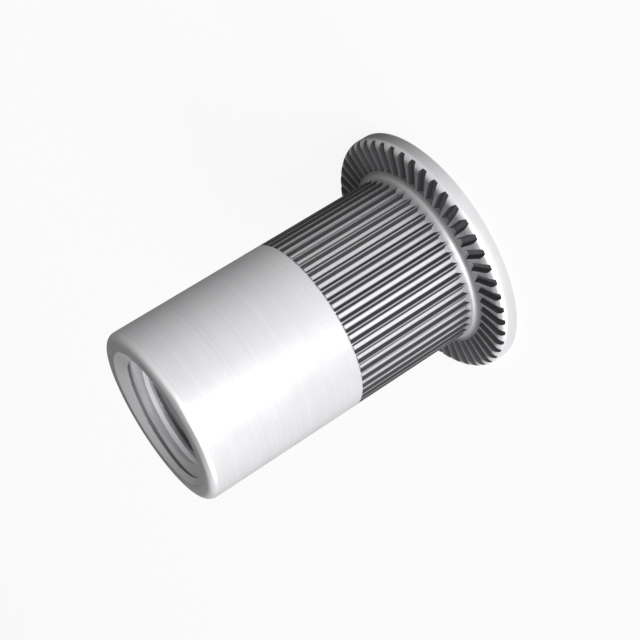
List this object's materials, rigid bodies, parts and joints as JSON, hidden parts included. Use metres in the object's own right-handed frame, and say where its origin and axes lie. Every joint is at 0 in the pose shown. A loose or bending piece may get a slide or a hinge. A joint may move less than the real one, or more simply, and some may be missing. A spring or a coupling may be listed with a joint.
{
  "type": "ribbed rivet nut",
  "caption": "Flat-head blind rivet nut with a ribbed shank, grooves under the head against turning, and a threaded blind-side end.",
  "frame": {"origin": "centre of the head's flat outer face", "axes": "+Z along the axis of the hole, from the head's face towards the plain threaded end; +X through the middle of a rib groove"},
  "size_m": [0.0158, 0.0158, 0.0201],
  "materials": {
    "plated_steel": "bright zinc plate"
  },
  "bodies": {
    "root": {"rivet_nut": "plated_steel"}
  },
  "joints": []
}
